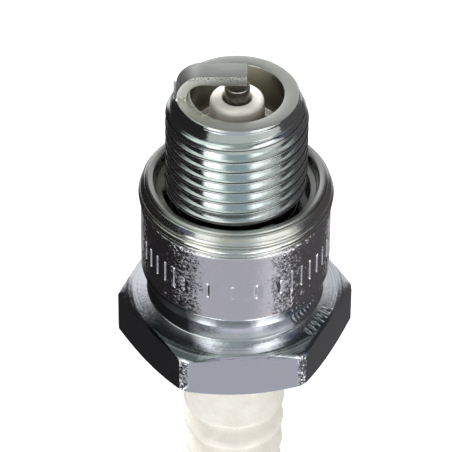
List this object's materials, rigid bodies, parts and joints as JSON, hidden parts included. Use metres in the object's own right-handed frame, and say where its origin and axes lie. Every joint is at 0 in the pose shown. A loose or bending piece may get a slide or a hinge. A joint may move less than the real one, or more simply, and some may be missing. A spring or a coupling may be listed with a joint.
{
  "type": "spark plug",
  "caption": "Spark plug with a short threaded shell, crush gasket, blunt-cornered hexagon, ribbed ceramic insulator and a screw-on terminal nut.",
  "frame": {"origin": "on the plug's axis, in the plane of the sealing gasket's upper face, which the cylinder head presses on", "axes": "+Z along the axis towards the electrodes; two flats of the hexagon face +Y and -Y; the ground electrode's foot is on the -X side, turned 4.8 degrees about Z"},
  "size_m": [0.0234, 0.0208, 0.0688],
  "materials": {
    "plated_steel": "satin",
    "nickel_alloy": "satin",
    "copper": "satin",
    "alumina": "gloss",
    "seal_glass": "satin",
    "resistor_glass": "matte",
    "plain_steel": "satin",
    "nut_steel": "satin",
    "gasket_steel": "satin",
    "packing_steel": "matte",
    "talc": "matte"
  },
  "bodies": {
    "plug": {"metal_shell": "plated_steel", "ground_electrode": "nickel_alloy", "center_electrode": "nickel_alloy", "electrode_core": "copper", "insulator": "alumina", "lower_glass_seal": "seal_glass", "resistor": "resistor_glass", "upper_glass_seal": "seal_glass", "terminal_stud": "plain_steel", "seat_packing_washer": "packing_steel", "lower_packing_ring": "packing_steel", "upper_packing_ring": "packing_steel", "talc_filling": "talc"},
    "gasket": {"sealing_gasket": "gasket_steel"},
    "nut": {"terminal_nut": "nut_steel"}
  },
  "joints": [
    {"name": "gasket_spin", "type": "hinge", "parent": "plug", "child": "gasket", "pos_m": [0, 0, 0], "axis": [0, 0, 1], "continuous": true},
    {"name": "nut_lift", "type": "slide", "parent": "plug", "child": "nut", "axis": [0, 0, -1], "range_m": [0, 0.009]}
  ]
}
